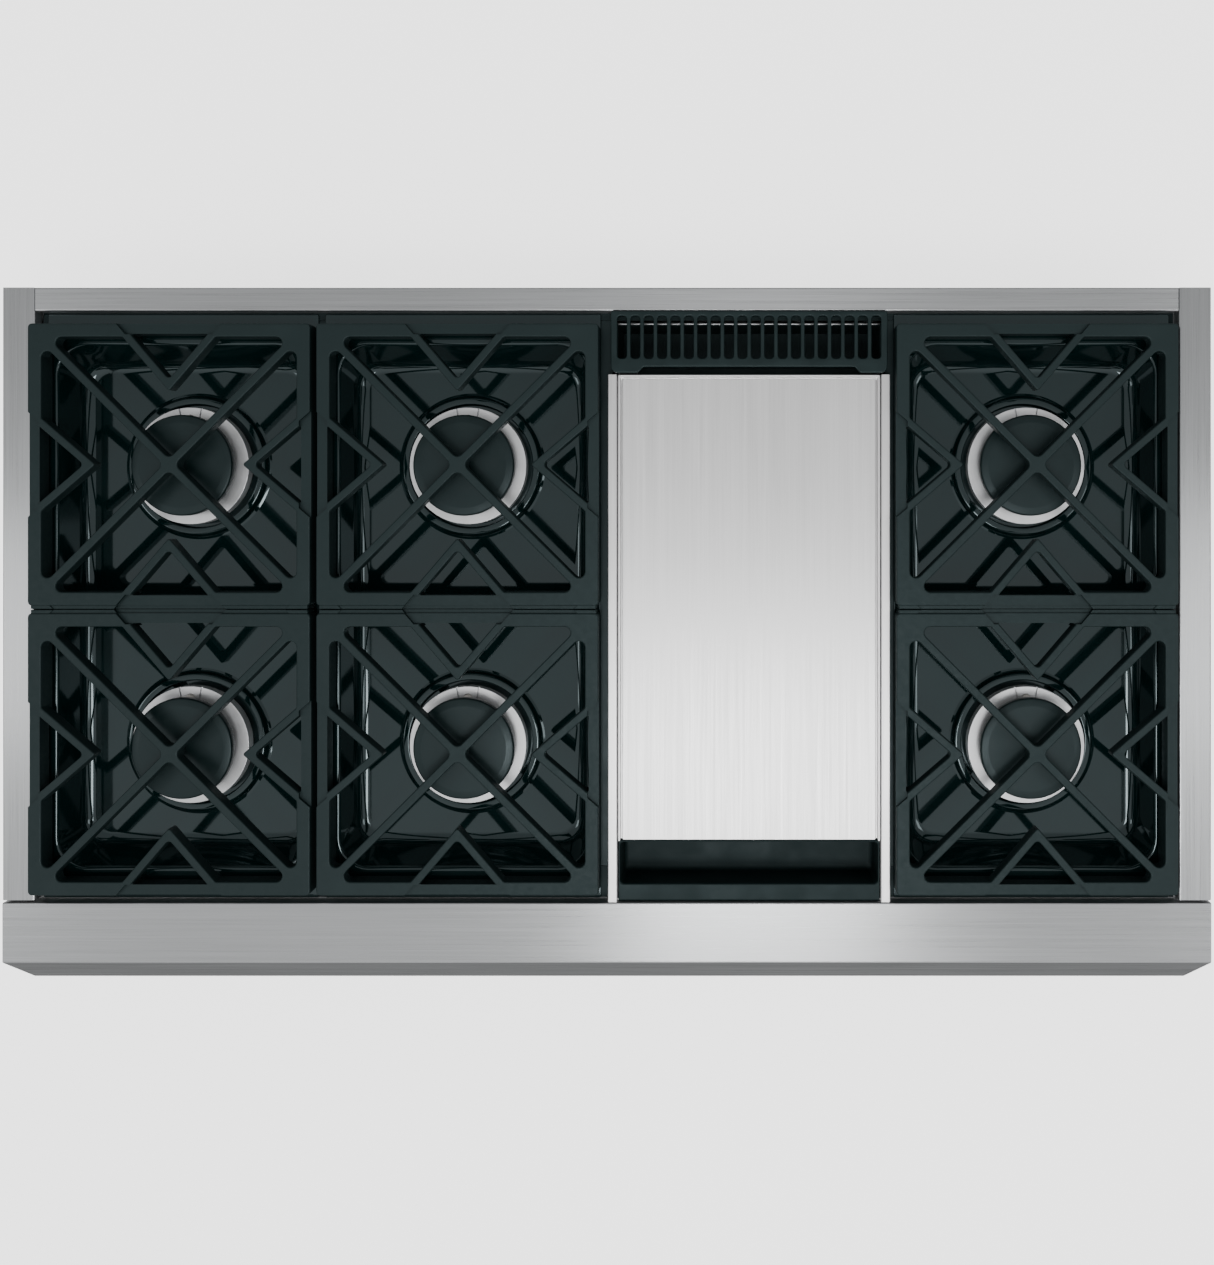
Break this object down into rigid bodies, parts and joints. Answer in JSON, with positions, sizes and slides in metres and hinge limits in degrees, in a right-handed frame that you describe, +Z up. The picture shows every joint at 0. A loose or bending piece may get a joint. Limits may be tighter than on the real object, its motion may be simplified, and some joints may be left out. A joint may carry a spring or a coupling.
{
  "type": "gas rangetop",
  "caption": "Built-in professional gas rangetop: sealed burners under cast-iron grates in deep pans, a stainless griddle with vent cover and grease tray, stainless trims and front knobs.",
  "frame": {"origin": "on the underside, under the middle of the overall box", "axes": "+Z up; the front, with its knobs, faces -Y; +X is to the right of a person standing in front"},
  "size_m": [1.216, 0.702, 0.216],
  "materials": {
    "stainless": "brushed along the length of each piece",
    "griddle_steel": "brushed front to back, near white",
    "cast_iron": "satin matte enamel over cast iron",
    "enamel": "gloss black porcelain enamel",
    "cap_enamel": "matte black enamel",
    "aluminium": "machined",
    "galvanised": "galvanised sheet",
    "brass": "cast and drawn",
    "ceramic": "unglazed",
    "black_plastic": "moulded",
    "knob_metal": "brushed"
  },
  "bodies": {
    "rangetop": {"burner_box": "galvanised", "bottom_cover": "galvanised", "left_side_trim": "stainless", "right_side_trim": "stainless", "rear_trim": "stainless", "bullnose": "stainless", "control_panel": "stainless", "bay_divider_left": "enamel", "bay_divider_centre": "enamel", "bay_divider_right": "enamel", "burner_pan_left": "enamel", "burner_head_rear_left": "aluminium", "igniter_rear_left": "ceramic", "burner_head_front_left": "aluminium", "igniter_front_left": "ceramic", "burner_pan_centre": "enamel", "burner_head_rear_centre": "aluminium", "igniter_rear_centre": "ceramic", "burner_head_front_centre": "aluminium", "igniter_front_centre": "ceramic", "burner_pan_right": "enamel", "burner_head_rear_right": "aluminium", "igniter_rear_right": "ceramic", "burner_head_front_right": "aluminium", "igniter_front_right": "ceramic", "griddle_frame": "stainless", "griddle_burner": "stainless", "gas_manifold": "brass", "pressure_regulator": "aluminium", "spark_module": "black_plastic", "power_inlet": "black_plastic"},
    "grate_rear_left": {"grate_rear_left": "cast_iron"},
    "burner_cap_rear_left": {"burner_cap_rear_left": "cap_enamel"},
    "grate_front_left": {"grate_front_left": "cast_iron"},
    "burner_cap_front_left": {"burner_cap_front_left": "cap_enamel"},
    "grate_rear_centre": {"grate_rear_centre": "cast_iron"},
    "burner_cap_rear_centre": {"burner_cap_rear_centre": "cap_enamel"},
    "grate_front_centre": {"grate_front_centre": "cast_iron"},
    "burner_cap_front_centre": {"burner_cap_front_centre": "cap_enamel"},
    "grate_rear_right": {"grate_rear_right": "cast_iron"},
    "burner_cap_rear_right": {"burner_cap_rear_right": "cap_enamel"},
    "grate_front_right": {"grate_front_right": "cast_iron"},
    "burner_cap_front_right": {"burner_cap_front_right": "cap_enamel"},
    "griddle_plate": {"griddle_plate": "griddle_steel"},
    "griddle_vent_cover": {"griddle_vent_cover": "enamel"},
    "grease_tray": {"grease_tray": "enamel"},
    "valve_stem_front_left": {"valve_stem_front_left": "galvanised"},
    "knob_front_left": {"knob_front_left": "knob_metal"},
    "valve_stem_rear_left": {"valve_stem_rear_left": "galvanised"},
    "knob_rear_left": {"knob_rear_left": "knob_metal"},
    "valve_stem_front_centre": {"valve_stem_front_centre": "galvanised"},
    "knob_front_centre": {"knob_front_centre": "knob_metal"},
    "valve_stem_rear_centre": {"valve_stem_rear_centre": "galvanised"},
    "knob_rear_centre": {"knob_rear_centre": "knob_metal"},
    "valve_stem_front_right": {"valve_stem_front_right": "galvanised"},
    "knob_front_right": {"knob_front_right": "knob_metal"},
    "valve_stem_rear_right": {"valve_stem_rear_right": "galvanised"},
    "knob_rear_right": {"knob_rear_right": "knob_metal"},
    "valve_stem_griddle": {"valve_stem_griddle": "galvanised"},
    "knob_griddle": {"knob_griddle": "knob_metal"}
  },
  "joints": [
    {"name": "grate_rear_left_lift", "type": "slide", "parent": "rangetop", "child": "grate_rear_left", "axis": [0, 0, 1], "range_m": [0, 0.12]},
    {"name": "burner_cap_rear_left_lift", "type": "slide", "parent": "rangetop", "child": "burner_cap_rear_left", "axis": [0, 0, 1], "range_m": [0, 0.06]},
    {"name": "grate_front_left_lift", "type": "slide", "parent": "rangetop", "child": "grate_front_left", "axis": [0, 0, 1], "range_m": [0, 0.12]},
    {"name": "burner_cap_front_left_lift", "type": "slide", "parent": "rangetop", "child": "burner_cap_front_left", "axis": [0, 0, 1], "range_m": [0, 0.06]},
    {"name": "grate_rear_centre_lift", "type": "slide", "parent": "rangetop", "child": "grate_rear_centre", "axis": [0, 0, 1], "range_m": [0, 0.12]},
    {"name": "burner_cap_rear_centre_lift", "type": "slide", "parent": "rangetop", "child": "burner_cap_rear_centre", "axis": [0, 0, 1], "range_m": [0, 0.06]},
    {"name": "grate_front_centre_lift", "type": "slide", "parent": "rangetop", "child": "grate_front_centre", "axis": [0, 0, 1], "range_m": [0, 0.12]},
    {"name": "burner_cap_front_centre_lift", "type": "slide", "parent": "rangetop", "child": "burner_cap_front_centre", "axis": [0, 0, 1], "range_m": [0, 0.06]},
    {"name": "grate_rear_right_lift", "type": "slide", "parent": "rangetop", "child": "grate_rear_right", "axis": [0, 0, 1], "range_m": [0, 0.12]},
    {"name": "burner_cap_rear_right_lift", "type": "slide", "parent": "rangetop", "child": "burner_cap_rear_right", "axis": [0, 0, 1], "range_m": [0, 0.06]},
    {"name": "grate_front_right_lift", "type": "slide", "parent": "rangetop", "child": "grate_front_right", "axis": [0, 0, 1], "range_m": [0, 0.12]},
    {"name": "burner_cap_front_right_lift", "type": "slide", "parent": "rangetop", "child": "burner_cap_front_right", "axis": [0, 0, 1], "range_m": [0, 0.06]},
    {"name": "griddle_plate_lift", "type": "slide", "parent": "rangetop", "child": "griddle_plate", "axis": [0, 0, 1], "range_m": [0, 0.1]},
    {"name": "griddle_vent_cover_lift", "type": "slide", "parent": "rangetop", "child": "griddle_vent_cover", "axis": [0, 0, 1], "range_m": [0, 0.1]},
    {"name": "grease_tray_lift", "type": "slide", "parent": "rangetop", "child": "grease_tray", "axis": [0, 0, 1], "range_m": [0, 0.12]},
    {"name": "valve_front_left_turn", "type": "hinge", "parent": "rangetop", "child": "valve_stem_front_left", "pos_m": [-0.4965, -0.3, 0.084], "axis": [0, -1, 0], "range_deg": [0, 250]},
    {"name": "knob_front_left_press", "type": "slide", "parent": "valve_stem_front_left", "child": "knob_front_left", "axis": [0, 1, 0], "range_m": [0, 0.0035], "stiffness_N_per_m": 1500, "springref_m": -0.002},
    {"name": "valve_rear_left_turn", "type": "hinge", "parent": "rangetop", "child": "valve_stem_rear_left", "pos_m": [-0.3725, -0.3, 0.084], "axis": [0, -1, 0], "range_deg": [0, 250]},
    {"name": "knob_rear_left_press", "type": "slide", "parent": "valve_stem_rear_left", "child": "knob_rear_left", "axis": [0, 1, 0], "range_m": [0, 0.0035], "stiffness_N_per_m": 1500, "springref_m": -0.002},
    {"name": "valve_front_centre_turn", "type": "hinge", "parent": "rangetop", "child": "valve_stem_front_centre", "pos_m": [-0.2095, -0.3, 0.084], "axis": [0, -1, 0], "range_deg": [0, 250]},
    {"name": "knob_front_centre_press", "type": "slide", "parent": "valve_stem_front_centre", "child": "knob_front_centre", "axis": [0, 1, 0], "range_m": [0, 0.0035], "stiffness_N_per_m": 1500, "springref_m": -0.002},
    {"name": "valve_rear_centre_turn", "type": "hinge", "parent": "rangetop", "child": "valve_stem_rear_centre", "pos_m": [-0.0855, -0.3, 0.084], "axis": [0, -1, 0], "range_deg": [0, 250]},
    {"name": "knob_rear_centre_press", "type": "slide", "parent": "valve_stem_rear_centre", "child": "knob_rear_centre", "axis": [0, 1, 0], "range_m": [0, 0.0035], "stiffness_N_per_m": 1500, "springref_m": -0.002},
    {"name": "valve_front_right_turn", "type": "hinge", "parent": "rangetop", "child": "valve_stem_front_right", "pos_m": [0.368, -0.3, 0.084], "axis": [0, -1, 0], "range_deg": [0, 250]},
    {"name": "knob_front_right_press", "type": "slide", "parent": "valve_stem_front_right", "child": "knob_front_right", "axis": [0, 1, 0], "range_m": [0, 0.0035], "stiffness_N_per_m": 1500, "springref_m": -0.002},
    {"name": "valve_rear_right_turn", "type": "hinge", "parent": "rangetop", "child": "valve_stem_rear_right", "pos_m": [0.492, -0.3, 0.084], "axis": [0, -1, 0], "range_deg": [0, 250]},
    {"name": "knob_rear_right_press", "type": "slide", "parent": "valve_stem_rear_right", "child": "knob_rear_right", "axis": [0, 1, 0], "range_m": [0, 0.0035], "stiffness_N_per_m": 1500, "springref_m": -0.002},
    {"name": "valve_griddle_turn", "type": "hinge", "parent": "rangetop", "child": "valve_stem_griddle", "pos_m": [0.143, -0.3, 0.084], "axis": [0, -1, 0], "range_deg": [0, 285]},
    {"name": "knob_griddle_press", "type": "slide", "parent": "valve_stem_griddle", "child": "knob_griddle", "axis": [0, 1, 0], "range_m": [0, 0.0035], "stiffness_N_per_m": 1500, "springref_m": -0.002}
  ],
  "couplings": [
    {"joint": "burner_cap_rear_left_lift", "follows": "grate_rear_left_lift", "ratio": 0.5},
    {"joint": "burner_cap_front_left_lift", "follows": "grate_front_left_lift", "ratio": 0.5},
    {"joint": "burner_cap_rear_centre_lift", "follows": "grate_rear_centre_lift", "ratio": 0.5},
    {"joint": "burner_cap_front_centre_lift", "follows": "grate_front_centre_lift", "ratio": 0.5},
    {"joint": "burner_cap_rear_right_lift", "follows": "grate_rear_right_lift", "ratio": 0.5},
    {"joint": "burner_cap_front_right_lift", "follows": "grate_front_right_lift", "ratio": 0.5}
  ]
}
